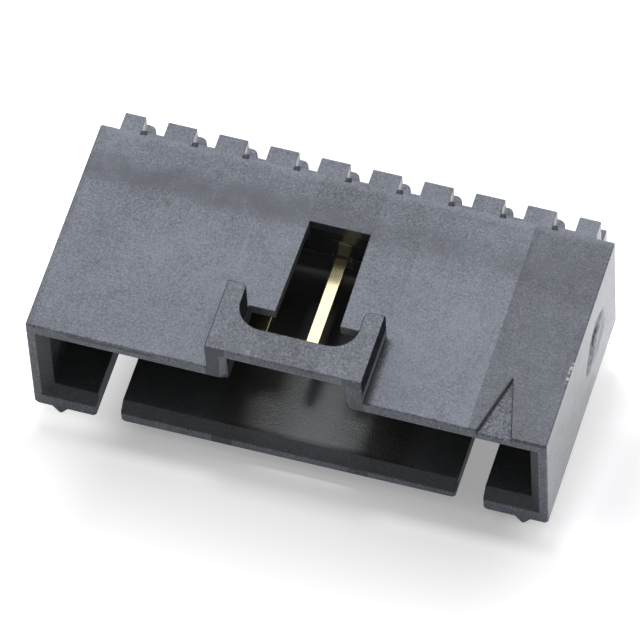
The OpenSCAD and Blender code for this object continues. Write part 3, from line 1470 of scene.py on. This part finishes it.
@dataclass
class Studio:
    """Pale floor, a compact key lamp overhead, a broad panel behind and a white surround."""

    floor_size: float = 4000.0
    floor_drop: float = 0.02
    floor_colour: Colour = (0.86, 0.86, 0.87)
    floor_roughness: float = 0.9
    floor_lift: float = 0.28
    floor_shade: float = 0.96
    soft_shade: float = 0.78
    # painted shadow on the floor in front of the part and beside its end
    painted_floor_shadows: tuple[Patch, ...] = (
        Patch((Ramp(-11.5, -7.5), Ramp(16.0, 9.5)), (Ramp(-13.9, -15.3), Ramp(-22.0, -16.5, 0.4, 1.0))),
        Patch((Ramp(12.8, 14.2), Ramp(19.0, 15.0, 0.0, 0.6)), (Ramp(-4.5, -6.5), Ramp(-13.0, -9.5))),
    )
    # painted glow on the floor near the part's ends
    painted_floor_glows: tuple[Patch, ...] = (
        Patch((Ramp(-7.2, -11.0, 0.0, 0.42),), (Ramp(-15.0, -12.8),)),
        Patch((Ramp(10.2, 12.2, 0.0, 0.18), Ramp(15.5, 12.4)), (Ramp(-15.0, -12.8),)),
    )
    surround: Ramp = Ramp(-0.9, -0.1, 0.05, 0.47)
    tip_half: float = 0.15
    lamps: tuple[Lamp, ...] = (
        Lamp("key_lamp", (-0.080, 0.205, 0.975), 95.0, 95.0, 1.3),
        Lamp("panel_lamp", (-0.187, 0.509, 0.840), 1400.0, 560.0, 2.4),
    )

    def build(self) -> None:
        """Sets up the floor, the surround and the lamps."""
        self.lay_floor()
        self.wrap_surround()
        for lamp in self.lamps:
            lamp.hang()

    def lay_floor(self) -> None:
        """Lays the floor under the front feet and the tips of the tails, on which the loose part rests."""
        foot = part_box("housing")[0]
        slope = (foot[2] - CAD_BOX[0].z) / (foot[1] + self.tip_half * MM)
        half = self.floor_size * MM / 2
        corners = [
            (x, y, foot[2] - self.floor_drop * MM + slope * (y - foot[1]))
            for x, y in ((-half, -half), (half, -half), (half, half), (-half, half))
        ]
        mesh = bpy.data.meshes.new("studio_floor")
        mesh.from_pydata(corners, [], [(0, 1, 2, 3)])
        floor = bpy.data.objects.new("studio_floor", mesh)
        bpy.context.scene.collection.objects.link(floor)
        mesh.materials.append(self.floor_material())

    def floor_material(self) -> bpy.types.Material:
        """Makes a pale matte floor, a little lighter to the camera, with a painted shadow around the part
        and a painted glow near its ends; the camera sees through it from below.

        Returns:
            The floor's material.
        """
        material, board, shader = new_material("studio_floor")
        surface = shader.outputs["BSDF"].links[0].to_socket
        shader.inputs["Roughness"].default_value = self.floor_roughness
        shader.inputs["Specular IOR Level"].default_value = 0.0
        shader.inputs["Emission Color"].default_value = WHITE
        path = board.add("ShaderNodeLightPath")
        to_camera = path.outputs[Ray.CAMERA.value]
        seen = board.any_of(*(path.outputs[ray.value] for ray in Ray))
        x, y, _ = board.axes(board.place_mm())
        shadow, glow = (
            board.any_of(*(patch.mask(board, x, y) for patch in patches))
            for patches in (self.painted_floor_shadows, self.painted_floor_glows)
        )
        open_floor, soft_floor = (
            tuple(part * shade for part in self.floor_colour)
            for shade in (self.floor_shade, self.soft_shade)
        )
        # painted shadow on the floor
        shaded = board.blend(shadow, open_floor, soft_floor)
        board.join(board.blend(seen, self.floor_colour, shaded), shader.inputs["Base Color"])
        # painted glow near the part's ends, seen by the camera only
        lift = board.math("MULTIPLY_ADD", glow, to_camera, self.floor_lift)
        board.join(board.both(seen, lift), shader.inputs["Emission Strength"])
        below = board.add("ShaderNodeNewGeometry").outputs["Backfacing"]
        mix, clear = board.add("ShaderNodeMixShader"), board.add("ShaderNodeBsdfTransparent")
        board.join(board.both(below, to_camera), mix.inputs[0])
        board.join(shader.outputs["BSDF"], mix.inputs[1])
        board.join(clear.outputs["BSDF"], mix.inputs[2])
        board.join(mix.outputs[0], surface)
        return material

    def wrap_surround(self) -> None:
        """Fills the world with a pale light, weaker in front of the part, which is white to the camera."""
        world = bpy.data.worlds.new("studio_surround")
        world.use_nodes = True
        world.node_tree.nodes.clear()
        board = ShaderBoard(world.node_tree)
        to_camera = board.add("ShaderNodeLightPath").outputs[Ray.CAMERA.value]
        way = board.axes(board.add("ShaderNodeTexCoord").outputs["Generated"])
        light = board.add("ShaderNodeBackground")
        light.inputs["Color"].default_value = WHITE
        board.join(board.any_of(board.span(way[1], self.surround), to_camera), light.inputs["Strength"])
        board.join(light.outputs[0], board.add("ShaderNodeOutputWorld").inputs["Surface"])
        bpy.context.scene.world = world


@dataclass
class ViewCamera:
    """Camera at the photograph's viewing place, with a long lens."""

    place: Point = (71.456, -201.577, 325.604)
    right: Point = (0.95640, 0.28964, -0.03756)
    up: Point = (-0.22425, 0.81063, 0.54092)
    lens: float = 455.76
    sensor: float = 36.0
    nearest: float = 10.0
    farthest: float = 10000.0

    def build(self) -> None:
        """Makes the scene's camera."""
        data = bpy.data.cameras.new("view_camera")
        data.lens = self.lens
        data.sensor_width = self.sensor
        data.sensor_fit = "HORIZONTAL"
        data.clip_start, data.clip_end = self.nearest * MM, self.farthest * MM
        camera = bpy.data.objects.new("view_camera", data)
        bpy.context.scene.collection.objects.link(camera)
        right, up = Vector(self.right).normalized(), Vector(self.up).normalized()
        turn = Matrix((right, up, right.cross(up))).transposed()
        camera.matrix_world = Matrix.Translation(Vector(self.place) * MM) @ turn.to_4x4()
        bpy.context.scene.camera = camera


def join_flats(shape: bpy.types.Object, merge: float = 0.0005) -> None:
    """Joins a solid's flat faces with modifiers, and leaves its own mesh as it is.

    Args:
        shape: The solid's object.
        merge: Corners closer than this, in millimetres, become one.
    """
    weld = shape.modifiers.new("weld", "WELD")
    weld.merge_threshold = merge * MM
    flat = shape.modifiers.new("flat_faces", "DECIMATE")
    flat.decimate_type = "DISSOLVE"
    flat.angle_limit = math.radians(FLAT_ANGLE)


def round_edges(shape: bpy.types.Object, radius: float, steps: int, angle: float = 0.0) -> None:
    """Rounds a solid's edges with modifiers, and leaves its own mesh as it is.

    Args:
        shape: The solid's object.
        radius: Radius in millimetres.
        steps: Faces across each rounded edge.
        angle: Edges that turn by more than this many degrees are rounded; zero goes by their weights.
    """
    bevel = shape.modifiers.new("edge_radius", "BEVEL")
    bevel.width = radius * MM
    bevel.segments = steps
    bevel.limit_method = "ANGLE" if angle else "WEIGHT"
    bevel.angle_limit = math.radians(angle)
    bevel.use_clamp_overlap = angle > 0.0
    normals = shape.modifiers.new("even_shading", "WEIGHTED_NORMAL")
    normals.keep_sharp = False


def set_material(shape: bpy.types.Object, material: bpy.types.Material) -> None:
    """Puts one material on all of an object's faces."""
    for slot in shape.material_slots:
        slot.material = material


def main() -> None:
    """Builds the camera, the studio and the part's pieces."""
    logging.basicConfig(level=logging.INFO, format="%(name)s: %(message)s")
    bpy.context.scene.view_settings.view_transform = "Standard"
    ViewCamera().build()
    Studio().build()
    housing = Housing()
    shape = housing.build()
    housing.dress(shape)
    LOG.info("%s dressed", shape.name)
    contacts = ContactRow()
    pins = contacts.build()
    contacts.dress(pins)
    for pin in pins:
        LOG.info("%s dressed", pin.name)


if __name__ == "__main__":
    main()
